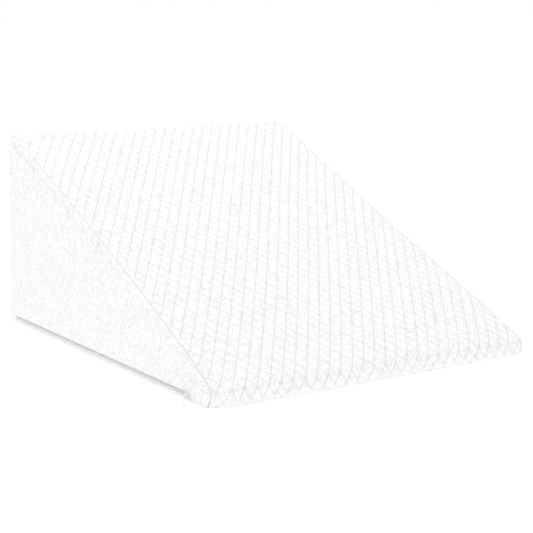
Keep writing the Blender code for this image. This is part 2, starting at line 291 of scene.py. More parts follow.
# %% A finish
class Finish:
    """One material: its Principled shader and the nodes in front of it."""

    def __init__(self, name, **constants):
        self.material = bpy.data.materials.new(name)
        self.material.use_nodes = True
        self.tree = self.material.node_tree
        self.shader = self.tree.nodes["Principled BSDF"]
        for socket, value in constants.items():
            self.shader.inputs[socket.replace("_", " ")].default_value = value

    def node(self, kind, settings=None, values=None, output=0):
        """Add a node: settings first, then the values or links of its sockets."""
        made = self.tree.nodes.new(kind)
        for name, value in (settings or {}).items():
            setattr(made, name, value)
        for name, value in (values or {}).items():
            if isinstance(value, Socket):
                self.tree.links.new(value.output, made.inputs[name])
            else:
                made.inputs[name].default_value = value
        return Socket(self, made.outputs[output])

    def feed(self, socket, value):
        """Lead a varying value into the shader."""
        self.tree.links.new(value.output, self.shader.inputs[socket])

    def noise(self, scale, detail=2.0):
        place = self.node("ShaderNodeTexCoord", output="Object")
        return self.node("ShaderNodeTexNoise", {}, {"Vector": place, "Scale": scale, "Detail": detail})

    def wave(self, turns):
        """A sine wave from 0 to 1 over a value counted in turns."""
        return self.node("ShaderNodeMath", {"operation": "SINE"}, {0: turns * math.tau}) * 0.5 + 0.5

    def mix(self, mask, first, second):
        """Blend two colours."""
        settings = {"data_type": "RGBA"}
        return self.node("ShaderNodeMix", settings, {0: mask, 6: first, 7: second}, output=2)

    def bump(self, height, strength, distance):
        values = {"Height": height, "Strength": strength, "Distance": distance}
        self.feed("Normal", self.node("ShaderNodeBump", {}, values))


# %% [markdown]
# ## The knit's finish
#
# The mesh holds the diamonds, and the finish adds what is finer than its faces: small tucks, where
# the yarn dips in, and fibre fuzz. The tucks follow the cloth's own count of diamonds, which the
# mesh carries with it, so the knit bends with each panel. They are uneven, as in any double knit:
# some patches show them well, others hardly at all. The yarn is white; the grey in the tucks, the
# sunken lines and the seams is painted shade.

# %% White double knit
TUCKS_ALONG = 6.0
TUCKS_ACROSS = 5.0
TUCK_CORE, TUCK_EDGE = 0.15, 0.50
FUZZ_SCALE, GRAIN_SCALE, PATCH_SCALE = 900.0, 420.0, 60.0
WHITE = (0.94, 0.94, 0.94, 1.0)
# grey painted into the tucks as shade
TUCK_SHADE_GREY = (0.71, 0.71, 0.715, 1.0)
# grey painted into the sunken lines and seam furrows as shade
GROOVE_SHADE_GREY = (0.70, 0.70, 0.705, 1.0)

knit = Finish("white_double_knit", Roughness=0.92, Sheen_Weight=0.15, Sheen_Roughness=0.5)
count = knit.node("ShaderNodeAttribute", {"attribute_name": "cloth"}, output="Vector")
along_count = knit.node("ShaderNodeSeparateXYZ", {}, {0: count}, output="X")
across_count = knit.node("ShaderNodeSeparateXYZ", {}, {0: count}, output="Y")
# how much painted shade each point gets in the lines and seams, carried by the mesh
sunk = knit.node("ShaderNodeAttribute", {"attribute_name": "depth"}, output="Fac")
fuzz = knit.noise(FUZZ_SCALE)
patches = knit.noise(PATCH_SCALE)
tuck_count = {"X": along_count * TUCKS_ALONG, "Y": across_count * TUCKS_ACROSS}
tuck_place = knit.node("ShaderNodeCombineXYZ", {}, tuck_count)
to_tuck = knit.node("ShaderNodeTexVoronoi", {}, {"Vector": tuck_place, "Scale": 1.0}, output="Distance")
tuck_ends = {"Value": to_tuck, "From Min": TUCK_EDGE, "From Max": TUCK_CORE}
tucks = knit.node("ShaderNodeMapRange", {}, tuck_ends)
grain_cloud = knit.noise(GRAIN_SCALE, 1.0)
grain = knit.node("ShaderNodeMapRange", {}, {"Value": grain_cloud, "From Min": 0.40, "From Max": 0.75})
# the tucks' dips greyed as painted shade, with a little random grain; the same value dips the bump
tuck_shade_and_grain = (tucks * patches * 1.6 + grain * 0.1) * (1 - sunk)
# painted shade in the sunken lines and seams, uneven from patch to patch
groove_shade_mask = sunk * (patches * 1.2 + 0.2)
knit.feed("Base Color", knit.mix(groove_shade_mask, knit.mix(tuck_shade_and_grain, WHITE, TUCK_SHADE_GREY), GROOVE_SHADE_GREY))
knit.feed("Roughness", fuzz * 0.12 + 0.84)
knit.bump(fuzz * 0.3 - tuck_shade_and_grain, 0.7, 0.5 * MM)
print("knit nodes", len(knit.tree.nodes))

# %% [markdown]
# ## Finishes of the zip
#
# The tape is a close weave with a fine rib along its length. The coil is bent from a milky nylon
# thread, which is smooth and a little glossy. Slider and pull are metal under white enamel, which
# wears to a duller tone where it is handled.

# %% Tape, nylon, enamel and thread
tape_finish = Finish("woven_tape", Roughness=0.85)
tape_place = tape_finish.node("ShaderNodeTexCoord", output="Object")
tape_up = tape_finish.node("ShaderNodeSeparateXYZ", {}, {0: tape_place}, output="Z")
tape_along = tape_finish.node("ShaderNodeSeparateXYZ", {}, {0: tape_place}, output="Y")
weave = tape_finish.wave(tape_up * (1 / (0.8 * MM))) * tape_finish.wave(tape_along * (1 / (0.6 * MM)))
tape_finish.feed("Base Color", tape_finish.mix(weave, (0.88, 0.88, 0.89, 1.0), (0.96, 0.96, 0.96, 1.0)))
tape_finish.bump(weave, 0.7, 0.2 * MM)

nylon = Finish("milky_nylon", Roughness=0.4, Subsurface_Weight=0.6, Subsurface_Scale=2 * MM)
nylon.shader.inputs["Subsurface Radius"].default_value = (1.0, 1.0, 1.0)
nylon_cloud = nylon.noise(400.0)
nylon.feed("Base Color", nylon.mix(nylon_cloud, (0.95, 0.95, 0.955, 1.0), (0.98, 0.98, 0.98, 1.0)))
nylon.feed("Roughness", nylon_cloud * 0.2 + 0.3)

enamel = Finish("white_enamel", Coat_Roughness=0.15)
handled = enamel.noise(250.0)
enamel.feed("Base Color", enamel.mix(handled, (0.90, 0.90, 0.90, 1.0), (0.82, 0.82, 0.81, 1.0)))
enamel.feed("Roughness", handled * 0.25 + 0.2)
enamel.feed("Coat Weight", 1 - handled)

thread = Finish("sewing_thread", Roughness=0.7)
strands = thread.noise(1500.0)
thread.feed("Base Color", thread.mix(strands, (0.74, 0.74, 0.74, 1.0), (0.90, 0.90, 0.90, 1.0)))
thread.bump(strands, 0.5, 0.1 * MM)

# %% [markdown]
# ## Cloth first, form second
#
# A tailor cuts flat cloth and the pattern of the knit lies straight on it. So each panel starts
# flat, in the plane of the cloth, and only then goes onto the form. A panel needs one function:
# from a place on the flat cloth to a place on the wedge. The slope's panel runs from the foot of
# the lip over the slope and down the back, so its second coordinate is the length along the outline.

# %% The long panel over lip, slope and back
FRONT_TO_BACK = np.concatenate([OUTER[:1], OUTER[: LONG_COUNT - 1 : -1]])
PANEL_STEPS = np.linalg.norm(np.diff(FRONT_TO_BACK, axis=0), axis=1)
PANEL_LENGTHS = np.concatenate([[0.0], np.cumsum(PANEL_STEPS)])
PANEL_END = PANEL_LENGTHS[-1]


def place_wrap(cloth):
    """Cloth to wedge for the long panel: u across, v along lip, slope and back."""
    u, v = cloth.T
    y = np.interp(v, PANEL_LENGTHS, FRONT_TO_BACK[:, 0])
    z = np.interp(v, PANEL_LENGTHS, FRONT_TO_BACK[:, 1])
    return np.stack([u, y, z], axis=1)


print("long panel", round(PANEL_END / MM), "mm long")


# %% The underside
def place_base(cloth):
    """Cloth to wedge for the underside, which lies flat and turns up a little at both ends."""
    u, v = cloth.T
    z = np.interp(v, OUTER[: LONG_COUNT + 1, 0], OUTER[: LONG_COUNT + 1, 1])
    return np.stack([u, v, z], axis=1)


# %% [markdown]
# ## A side panel
#
# The middle of a side panel is flat. Past the inner outline its cloth bends round the roll, and
# the further a point lies outside, the further it goes round. The allowance is as wide as a quarter
# of the ellipse that the roll follows, so the knit keeps its scale all the way to the seam.

# %% Width of the roll in the flat cloth
ROLL_DEPTH = np.linalg.norm(OUTER - INNER, axis=1)
LOPSIDED = ((SEAM_INSET - ROLL_DEPTH) / (SEAM_INSET + ROLL_DEPTH)) ** 2
ROLL_ARC = math.pi / 4 * (SEAM_INSET + ROLL_DEPTH) * (1 + LOPSIDED / 4)
print("cloth in the roll, mm", round(ROLL_ARC.min() / MM, 1), "to", round(ROLL_ARC.max() / MM, 1))


# %% Nearest place on the inner outline
def nearest_on_inner(points):
    """For points in the side's plane: index along the outline, distance, and if outside it."""
    ends = np.roll(INNER, -1, axis=0)
    step = ends - INNER
    index = np.zeros(len(points))
    distance = np.full(len(points), np.inf)
    outside = np.zeros(len(points), bool)
    for place, (start, along) in enumerate(zip(INNER, step)):
        offset = points - start
        share = np.clip(offset @ along / (along @ along), 0.0, 1.0)
        gap = np.linalg.norm(offset - share[:, None] * along, axis=1)
        right_of = offset[:, 1] * along[0] - offset[:, 0] * along[1] < 0
        closer = gap < distance
        distance[closer] = gap[closer]
        index[closer] = place + share[closer]
        outside[closer] = right_of[closer]
    return index, distance, outside


# %% Values at a place between two outline points
def along_loop(values, index):
    """Blend a value, or a row of values, given at each outline point."""
    first = np.floor(index).astype(int) % len(values)
    second = (first + 1) % len(values)
    share = index - np.floor(index)
    if values.ndim == 2:
        share = share[:, None]
    return values[first] * (1 - share) + values[second] * share


# %% Side panel to wedge
def place_side(cloth, hand):
    """Cloth to wedge for a side panel. hand is -1 for the zip's side and 1 for the other one."""
    index, distance, outside = nearest_on_inner(cloth)
    turned = np.where(outside, distance / along_loop(ROLL_ARC, index), 0.0)
    angle = np.clip(1 - turned, 0.0, 1.0) * math.pi / 2
    inner, outer = along_loop(INNER, index), along_loop(OUTER, index)
    rolled = inner + (outer - inner) * np.cos(angle)[:, None]
    flat = np.where(outside[:, None], rolled, cloth)
    x = hand * (SEAM_X + SEAM_INSET * np.sin(np.where(outside, angle, math.pi / 2)))
    return np.stack([x, flat[:, 0], flat[:, 1]], axis=1)


# %% [markdown]
# ## The knit's diamonds
#
# The knit shows long diamonds, about 21 mm wide and 32 mm long. One family of lines is deep and
# runs on without a break. The other one is a row of short dashes with a dimple at each end. To
# hold such sharp lines a mesh has to follow them, so the flat cloth is woven from the two
# families: its own edges run along the sunken lines, with narrow steps beside each of them.

# %% Size and steps of one diamond
DIAMOND_WIDTH = 21.1 * MM
DIAMOND_LENGTH = 31.8 * MM
STEPS_ALONG_LINE = (0.0, 0.08, 0.22, 0.41, 0.59, 0.78, 0.92)
STEPS_ACROSS_LINE = (0.0, 0.05, 0.28, 0.5, 0.72, 0.95)


def diamond_place(cloth, phase):
    """Two coordinates that count diamonds: along the deep lines, and across them."""
    u, v = cloth[:, 0] - phase[0], cloth[:, 1] - phase[1]
    across, up = u / DIAMOND_WIDTH, v / DIAMOND_LENGTH
    return up + across, up - across


# %% Weave a flat piece of cloth
def weave_flat(low, high, phase):
    """Corner points and faces of a flat mesh whose edges follow the diamonds' lines."""
    corners = np.array([(u, v) for u in (low[0], high[0]) for v in (low[1], high[1])])
    first, second = diamond_place(corners, phase)
    lines = []
    for counted, steps in ((first, STEPS_ALONG_LINE), (second, STEPS_ACROSS_LINE)):
        cells = np.arange(math.floor(counted.min()) - 1, math.ceil(counted.max()) + 2)
        lines.append((cells[:, None] + np.array(steps)).ravel())
    one, two = np.meshgrid(lines[0], lines[1], indexing="ij")
    u = (one - two) / 2 * DIAMOND_WIDTH + phase[0]
    v = (one + two) / 2 * DIAMOND_LENGTH + phase[1]
    points = np.stack([u, v], axis=2)
    margin = 12 * MM
    near = (u > low[0] - margin) & (u < high[0] + margin)
    near &= (v > low[1] - margin) & (v < high[1] + margin)
    kept = near[:-1, :-1] & near[1:, :-1] & near[1:, 1:] & near[:-1, 1:]
    numbers = np.arange(u.size).reshape(u.shape)
    quads = np.stack([numbers[:-1, :-1], numbers[1:, :-1], numbers[1:, 1:], numbers[:-1, 1:]], axis=2)
    quads = quads[kept]
    used, faces = np.unique(quads, return_inverse=True)
    return points.reshape(-1, 2)[used], faces.reshape(-1, 4)


# %% [markdown]
# ## Cutting the cloth
#
# Scissors follow a line wherever the threads lie. Here a line is any value that changes sign on
# the cloth: every mesh edge that crosses it is split at the crossing, and the new points are
# joined up. The same cut makes a panel's edge, a clean fold for a seam, and the slot for the zip.

# %% Cut along a line
WELD = 0.25 * MM


def flat_points(bm):
    return np.array([(vert.co.x, vert.co.y) for vert in bm.verts])


def cut_along(bm, value_at):
    """Split the cloth where value_at, a function of its flat points, crosses zero."""
    bm.verts.index_update()
    values = value_at(flat_points(bm))
    crossing = []
    for edge in bm.edges:
        start, end = (values[vert.index] for vert in edge.verts)
        if start * end < 0:
            crossing.append((edge, edge.verts[0], start / (start - end)))
    fresh = [bmesh.utils.edge_split(edge, vert, share)[1] for edge, vert, share in crossing]
    bmesh.ops.connect_verts(bm, verts=fresh)
    return len(fresh)


def trim(bm, value_at):
    """Cut the cloth along a line and drop the side where the value is above zero."""
    cut_along(bm, value_at)
    bm.faces.ensure_lookup_table()
    centres = np.array([face.calc_center_median()[:2] for face in bm.faces])
    gone = value_at(centres) > 0
    bmesh.ops.delete(bm, geom=[bm.faces[place] for place in np.flatnonzero(gone)], context="FACES")


# %% [markdown]
# ## Relief of the knit
#
# The relief is a height over the form at each point of the cloth. The deep line is a narrow
# furrow, the dash is a shallow one with a dimple at each end, and each cell is a low cushion
# between them. The heights are tenths of a millimetre, and that is enough to catch the light.

# %% Heights of the relief
CELL_PUFF = 0.5 * MM
LINE_DEPTH = 0.7 * MM
LINE_HALF_WIDTH = 0.55 * MM
CROSSING_DEPTH = 0.35 * MM
DASH_DEPTH = 0.25 * MM
DIMPLE_DEPTH = 0.35 * MM
DASH_HALF_WIDTH = 0.9 * MM
DASH_END = 0.28
DIMPLE_REACH = 0.09
LINE_PITCH = DIAMOND_WIDTH * DIAMOND_LENGTH / math.hypot(DIAMOND_WIDTH, DIAMOND_LENGTH)


def bell(distance, half_width):
    return np.exp(-((distance / half_width) ** 2))


def relief(cloth, phase):
    """Height of the knit over the form, and how deep in a line each point lies, from 0 to 1; the second
    sets the painted shade of the lines.
    """
    one, two = diamond_place(cloth, phase)
    to_dash = np.abs(one - np.round(one)) * LINE_PITCH
    to_line = np.abs(two - np.round(two)) * LINE_PITCH
    between = np.abs(two - np.floor(two) - 0.5)
    puff = (np.abs(np.sin(math.pi * one)) * 0.2 + 0.8) * np.abs(np.sin(math.pi * two)) ** 0.6
    line = bell(to_line, LINE_HALF_WIDTH)
    crossing = line * bell(to_dash, 3 * DASH_HALF_WIDTH)
    dash = bell(to_dash, DASH_HALF_WIDTH) * (between < DASH_END + DIMPLE_REACH)
    dimple = bell(to_dash, 1.3 * DASH_HALF_WIDTH) * bell(between - DASH_END, DIMPLE_REACH)
    height = CELL_PUFF * puff - LINE_DEPTH * line - CROSSING_DEPTH * crossing
    height = height - DASH_DEPTH * dash - DIMPLE_DEPTH * dimple
    # depth weighs the painted shade that greys the lines, crossings, dashes and dimples
    depth = np.clip(line * 0.75 + crossing * 0.25 + 0.75 * dash + 0.4 * dimple, 0.0, 1.0)
    return height, depth


print("deep lines lie", round(LINE_PITCH / MM, 1), "mm apart")


# %% [markdown]
# ## Wrinkles
#
# A zipped cover is never quite as tight as its foam. Three things show: a slow unevenness, drawn
# here as a sum of waves with seeded directions, creases that run down from the seam at the thin
# front tip, and small gathers where the cloth bends over the lip. Each crease is a furrow with a
# soft ridge beside it, and it dies out at both ends.


# %% Slow unevenness
def ripple(points, shortest, longest, stretch, seed, count=14):
    """Waves of mixed length over flat points, about 1 high, drawn out along the second axis."""
    rng = np.random.default_rng(seed)
    total = np.zeros(len(points))
    for length in np.geomspace(shortest, longest, count):
        heading, start = rng.uniform(0.0, math.tau, 2)
        turns = points[:, 0] * math.cos(heading) + points[:, 1] * math.sin(heading) / stretch
        total += np.sin(turns / length * math.tau + start)
    return total / math.sqrt(count)


# %% One crease
def crease(points, start, end, half_width, depth):
    """Height of a crease between two places given in millimetres."""
    start, end = np.array(start) * MM, np.array(end) * MM
    step = end - start
    share = (points - start) @ step / (step @ step)
    nearest = start + np.clip(share, 0.0, 1.0)[:, None] * step
    away = np.linalg.norm(points - nearest, axis=1)
    fade = bell(np.maximum(np.abs(share - 0.5) - 0.3, 0.0), 0.2)
    return depth * fade * (0.45 * bell(away - 2 * half_width, half_width) - bell(away, half_width))


# %% [markdown]
# ## Settle the cover on its foam
#
# Foam pushes a cover out from inside, and the seams hold it back. A coarse copy of the form goes
# through a cloth simulation with a little pressure and no gravity. Its seams, the zip's line and
# the underside are pinned. Firm foam lets the cloth rise very little, so the way of each point is
# capped, and the fine panels take it up from the nearest coarse points.

# %% Coarse copy of the form
ZIP_HEIGHT = 12.5 * MM
SETTLE_VOXEL = 9 * MM
SETTLE_ACROSS = 24
SETTLE_ROLL = 5


def coarse_form():
    """The stuffed wedge as one closed skin with even faces."""
    angles = np.linspace(math.pi / 2, 0.0, SETTLE_ROLL)
    sections = [(-SEAM_X - SEAM_INSET * math.sin(angle), math.cos(angle)) for angle in angles]
    sections += [(x, 1.0) for x in np.linspace(-SEAM_X, SEAM_X, SETTLE_ACROSS)[1:-1]]
    sections += [(-x, share) for x, share in sections[SETTLE_ROLL - 1 :: -1]]
    loops = [INNER + (OUTER - INNER) * share for x, share in sections]
    points = [np.column_stack([np.full(len(OUTER), x), loop]) for (x, share), loop in zip(sections, loops)]
    size = len(OUTER)
    faces = [tuple(range(size)), tuple(range(len(points) * size - 1, (len(points) - 1) * size - 1, -1))]
    for row in range(len(points) - 1):
        for place in range(size):
            here, after = row * size + place, row * size + (place + 1) % size
            faces.append((here, here + size, after + size, after))
    mesh = bpy.data.meshes.new("coarse")
    mesh.from_pydata(stuffed(np.concatenate(points)).tolist(), [], faces)
    coarse = linked("coarse", mesh)
    remesh = coarse.modifiers.new("even", "REMESH")
    remesh.mode = "VOXEL"
    remesh.voxel_size = SETTLE_VOXEL
    shown = coarse.evaluated_get(bpy.context.evaluated_depsgraph_get())
    coarse.data = bpy.data.meshes.new_from_object(shown)
    coarse.modifiers.clear()
    return coarse


# %% Run the simulation
SETTLE_PRESSURE = 4.0
SETTLE_FRAMES = 20
SETTLE_CAP = 2 * MM
PINNED_REACH = 8 * MM


def tree_of(points):
    """A tree that finds the nearest of these points."""
    tree = kdtree.KDTree(len(points))
    for number, point in enumerate(points):
        tree.insert(point, number)
    tree.balance()
    return tree


def mesh_points(mesh):
    flat = np.empty(len(mesh.vertices) * 3)
    mesh.vertices.foreach_get("co", flat)
    return flat.reshape(-1, 3)


def settle():
    """Points of the coarse form and how far the pressure moves each of them."""
    coarse = coarse_form()
    before = mesh_points(coarse.data)
    lines = [np.column_stack([np.full(len(OUTER), x), OUTER]) for x in (-SEAM_X, SEAM_X)]
    seams = tree_of(stuffed(np.concatenate(lines)))
    to_seam = np.array([seams.find(point)[2] for point in before])
    on_side = np.abs(before[:, 0] - MIDDLE_X) > SEAM_X - LEAN_IN
    held = (to_seam < PINNED_REACH) | (before[:, 2] < SETTLE_VOXEL / 2)
    held |= on_side & (np.abs(before[:, 2] - ZIP_HEIGHT) < PINNED_REACH)
    coarse.vertex_groups.new(name="held").add(np.flatnonzero(held).tolist(), 1.0, "REPLACE")
    cloth = coarse.modifiers.new("cover", "CLOTH")
    cloth.settings.vertex_group_mass = "held"
    cloth.settings.use_pressure = True
    cloth.settings.uniform_pressure_force = SETTLE_PRESSURE
    cloth.settings.effector_weights.gravity = 0.0
    cloth.point_cache.frame_end = SETTLE_FRAMES
    for frame in range(1, SETTLE_FRAMES + 1):
        bpy.context.scene.frame_set(frame)
    shown = coarse.evaluated_get(bpy.context.evaluated_depsgraph_get())
    travel = mesh_points(shown.data) - before
    bpy.context.scene.frame_set(1)
    mesh = coarse.data
    bpy.data.objects.remove(coarse)
    bpy.data.meshes.remove(mesh)
    length = np.maximum(np.linalg.norm(travel, axis=1), 1e-9)
    print("simulated on", len(before), "points, longest way", round(length.max() / MM, 1), "mm")
    return before, travel * np.tanh(length / SETTLE_CAP)[:, None] * (SETTLE_CAP / length)[:, None]


SETTLED_POINTS, SETTLED_WAYS = settle()
SETTLED_TREE = tree_of(SETTLED_POINTS)
NEAR_COUNT = 6


def settled(points):
    """How far the simulation moves these points, from the nearest coarse points."""
    ways = np.empty_like(points)
    for number, point in enumerate(points):
        found = SETTLED_TREE.find_n(point, NEAR_COUNT)
        near = [index for place, index, distance in found]
        weight = np.array([1 / (distance + MM) for place, index, distance in found])
        ways[number] = weight @ SETTLED_WAYS[near] / weight.sum()
    return ways


# %% [markdown]
# ## Lay, shape and close a panel
#
# One function takes every panel through the same steps as in a sewing room: cut the cloth, lay it
# on the form, raise the knit along the form's own normals, let it dip into its seams, and turn
# the raw edge in as a seam allowance. The cloth's flat coordinates stay with each point, because
# the fine knit in the material follows them.

# %% Seams and directions
SEAM_DIP = 1.1 * MM
SEAM_HALF_WIDTH = 1.4 * MM
# how strongly painted shade greys the seam furrows
SEAM_SHADE_WEIGHT = 0.9
BODY_MIDDLE = np.array([MIDDLE_X, 0.0, BACK_HEIGHT / 3])
ALLOWANCE = 4 * MM


def evened(directions, bm, rounds=4):
    """Blend each point's direction with its neighbours', so that tight corners don't fold over."""
    pairs = np.array([[vert.index for vert in edge.verts] for edge in bm.edges])
    for _ in range(rounds):
        total = directions.copy()
        np.add.at(total, pairs[:, 0], directions[pairs[:, 1]])
        np.add.at(total, pairs[:, 1], directions[pairs[:, 0]])
        directions = total / np.linalg.norm(total, axis=1)[:, None]
    return directions


# %% Make a panel
def make_panel(name, bm, place, phase, dip_at, strength, wrinkle=None):
    """Turn cut flat cloth into a shaped panel.

    place gives the plain wedge's points, dip_at the distance to the nearest seam, and strength
    scales the relief.
    """
    bmesh.ops.remove_doubles(bm, verts=bm.verts, dist=WELD)
    bm.verts.index_update()
    cloth = flat_points(bm)
    placed = place(cloth)
    body = stuffed(placed)
    for vert, point in zip(bm.verts, body):
        vert.co = point
    bm.normal_update()
    normals = np.array([vert.normal for vert in bm.verts])
    if np.sum(normals * (body - BODY_MIDDLE)) < 0:
        bmesh.ops.reverse_faces(bm, faces=bm.faces)
        normals = -normals
    normals = evened(normals, bm)
    height, depth = relief(cloth, phase)
    to_seam = dip_at(cloth)
    fade = 1 - bell(to_seam, 2.5 * SEAM_HALF_WIDTH)
    height = strength * height * fade - SEAM_DIP * bell(to_seam, SEAM_HALF_WIDTH)
    # painted shade: the lines and the seam furrows are greyed in the knit's colour through this value
    depth = np.maximum(strength * depth * fade, SEAM_SHADE_WEIGHT * bell(to_seam, SEAM_HALF_WIDTH))
    if wrinkle is not None:
        height = height + wrinkle(cloth, placed) * fade
    body = body + settled(body) + normals * height[:, None]
    body[:, 2] = np.maximum(body[:, 2], 0.0)
    cloth_layer = bm.verts.layers.float_vector.new("cloth")
    line_shade_layer = bm.verts.layers.float.new("depth")
    normal_layer = bm.verts.layers.float_vector.new("outward")
    one, two = diamond_place(cloth, phase)
    for number, vert in enumerate(bm.verts):
        vert.co = body[number]
        vert[cloth_layer] = (one[number], two[number], 0.0)
        vert[line_shade_layer] = depth[number]
        vert[normal_layer] = normals[number]
    edges = [edge for edge in bm.edges if edge.is_boundary]
    turned = bmesh.ops.extrude_edge_only(bm, edges=edges)["geom"]
    for item in turned:
        if isinstance(item, bmesh.types.BMVert):
            item.co -= item[normal_layer] * ALLOWANCE
            item.co.z = max(item.co.z, 0.0)
    mesh = bpy.data.meshes.new(name)
    bm.to_mesh(mesh)
    bm.free()
    mesh.shade_smooth()
    mesh.materials.append(knit.material)
    triangles = sum(len(face.vertices) - 2 for face in mesh.polygons)
    print(name, triangles, "triangles")
    return linked(name, mesh)


# %% Start a panel's cloth
def cut_cloth(low, high, phase):
    points, faces = weave_flat(low, high, phase)
    mesh = bpy.data.meshes.new("flat")
    mesh.from_pydata(np.column_stack([points, np.zeros(len(points))]), [], faces.tolist())
    bm = bmesh.new()
    bm.from_mesh(mesh)
    bpy.data.meshes.remove(mesh)
    return bm


# %% The long panel
WRAP_PHASE = (0.0, 7.2 * MM)
FOOT_SEAM = 4 * MM
FOOT_SEAM_SOFTNESS = 1.2 * SEAM_HALF_WIDTH
HEEL_SEAM = PANEL_END - 22 * MM
LIP_EDGE_HEIGHT = 0.9 * LIP_HEIGHT
LIP_POINTS = 60

bm = cut_cloth((-SEAM_X, 0.0), (SEAM_X, PANEL_END), WRAP_PHASE)
cut_along(bm, lambda cloth: np.abs(cloth[:, 0]) - (SEAM_X - SEAM_HALF_WIDTH))
trim(bm, lambda cloth: np.abs(cloth[:, 0]) - SEAM_X)
trim(bm, lambda cloth: np.maximum(-cloth[:, 1], cloth[:, 1] - PANEL_END))
for seam_at in (FOOT_SEAM, HEEL_SEAM):
    for offset in (-SEAM_HALF_WIDTH, 0.0, SEAM_HALF_WIDTH):
        cut_along(bm, lambda cloth: cloth[:, 1] - seam_at - offset)


def wrap_seams(cloth):
    to_side = SEAM_X - np.abs(cloth[:, 0])
    to_foot = np.abs(cloth[:, 1] - FOOT_SEAM) + FOOT_SEAM_SOFTNESS
    to_heel = np.abs(cloth[:, 1] - HEEL_SEAM)
    return np.minimum(to_side, np.minimum(to_foot, to_heel))


LIP_RISE = FRONT_TO_BACK[:LIP_POINTS, 1]
LIP_EDGE = float(np.interp(LIP_EDGE_HEIGHT, LIP_RISE, PANEL_LENGTHS[:LIP_POINTS]))


def wrap_wrinkles(cloth, placed):
    slow = 0.5 * MM * ripple(cloth, 60 * MM, 260 * MM, 1.0, 5)
    gathers = 0.55 * MM * ripple(cloth, 9 * MM, 20 * MM, 3.0, 6) * bell(cloth[:, 1] - LIP_EDGE, 9 * MM)
    tug = crease(cloth, (184, 22), (200, 3), 2.2 * MM, 1.5 * MM)
    second_tug = crease(cloth, (191, 22), (207, 3), 2.0 * MM, 1.2 * MM)
    return slow + gathers + tug + second_tug


wrap = make_panel("cover_top", bm, place_wrap, WRAP_PHASE, wrap_seams, 1.0, wrap_wrinkles)

# %% The underside
bm = cut_cloth((-SEAM_X, OUTER[0][0]), (SEAM_X, OUTER[LONG_COUNT][0]), (0.0, 0.0))
trim(bm, lambda cloth: np.abs(cloth[:, 0]) - SEAM_X)
trim(bm, lambda cloth: np.maximum(OUTER[0][0] - cloth[:, 1], cloth[:, 1] - OUTER[LONG_COUNT][0]))


def far_from_seams(cloth):
    return np.full(len(cloth), 1.0)


BASE_RELIEF = 0.6
base = make_panel("cover_base", bm, place_base, (0.0, 0.0), far_from_seams, BASE_RELIEF)

# %% [markdown]
# ## The side panels and the slot for the zip
#
# The side panels carry the same knit, upright. A seam joins each of them to the underside's panel
# a finger's width above the floor. On one side that seam is the zip: the cloth is left open there
# over a straight slot, and both edges are turned in to the tape.

# %% Seam lines on a side
SLOT_HALF_HEIGHT = 2.7 * MM
SLIDER_ROOM = 1.4 * MM
SLIDER_ROOM_END = -281 * MM
SLOT_FRONT = -295 * MM
SLOT_BACK = 312 * MM
SLOT_WIDENS_OVER = 2 * MM
SIDE_RELIEF = 0.4
TIP_CREASES = (
    # start and end in y and z, half width, depth, all in millimetres
    ((-203, 85), (-216, 40), 3.0, 1.1),
    ((-232, 66), (-245, 19), 2.6, 1.2),
    ((-252, 70), (-263, 20), 2.4, 1.6),
    ((-276, 54), (-288, 15), 2.2, 1.4),
    ((-297, 60), (-318, 19), 2.6, 1.8),
    ((-175, 75), (-186, 24), 3.4, 0.9),
    ((-112, 120), (-123, 60), 4.0, 0.8),
    ((313, 318), (319, 250), 3.5, 1.2),
    ((300, 310), (303, 262), 3.0, 0.9),
)


def side_share(cloth):
    """Above 0 where the cloth lies outside the side panel's cut edge."""
    index, distance, outside = nearest_on_inner(cloth)
    return np.where(outside, distance, -distance) - along_loop(ROLL_ARC, index)


def slot_field(cloth, hand):
    """Distance outside the zip's slot, below 0 within it."""
    placed = place_side(cloth, hand)
    widening = SLIDER_ROOM / (1 + np.exp((placed[:, 1] - SLIDER_ROOM_END) / SLOT_WIDENS_OVER))
    over = np.abs(placed[:, 2] - ZIP_HEIGHT) - SLOT_HALF_HEIGHT - widening
    past = np.maximum(SLOT_FRONT - placed[:, 1], placed[:, 1] - SLOT_BACK)
    return np.maximum(over, past)


def make_side(name, hand, phase):
    """Cut, shape and close a side panel. hand is -1 for the zip's side and 1 for the other one."""
    low = INNER.min(axis=0) - ROLL_ARC.max()
    high = INNER.max(axis=0) + ROLL_ARC.max()
    bm = cut_cloth(low, high, phase)
    trim(bm, side_share)
    cut_along(bm, lambda cloth: side_share(cloth) + SEAM_HALF_WIDTH)
    if hand < 0:
        trim(bm, lambda cloth: -slot_field(cloth, hand))

    def seam_distance(cloth):
        placed = place_side(cloth, hand)
        on_base = placed[:, 2] < 0.5 * MM
        to_edge = np.where(on_base, 1.0, np.maximum(-side_share(cloth), 0.0))
        to_base = np.abs(placed[:, 2] - ZIP_HEIGHT)
        if hand < 0:
            to_base = np.maximum(slot_field(cloth, hand), 0.0)
        return np.minimum(to_edge, to_base)

    def side_wrinkles(cloth, placed):
        plane = placed[:, 1:]
        total = 0.35 * MM * ripple(plane, 14 * MM, 60 * MM, 4.0, 11 + hand)
        total += 0.6 * MM * ripple(plane, 70 * MM, 240 * MM, 1.5, 21 + hand)
        for start, end, half_width, depth in TIP_CREASES:
            total += crease(plane, start, end, half_width * MM, depth * MM)
        return total

    def place(cloth):
        return place_side(cloth, hand)

    return make_panel(name, bm, place, phase, seam_distance, SIDE_RELIEF, side_wrinkles)


side_left = make_side("cover_zip_side", -1, (0.0, 0.0))
side_right = make_side("cover_plain_side", 1, (0.0, 0.0))

# %% Attach the cover
for panel in (wrap, base, side_left, side_right):
    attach(panel, "root")
    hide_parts("pillow")

# %% [markdown]
# ## The zip's teeth
#
# A light zip has no separate teeth: each side is one nylon thread bent into a flat coil, and the
# two coils hook into each other. A coil is easy to draw as a path, so a thin tube follows it. One
# helper sweeps a ring of points along any path, and serves the pull's wire and the stitches too.


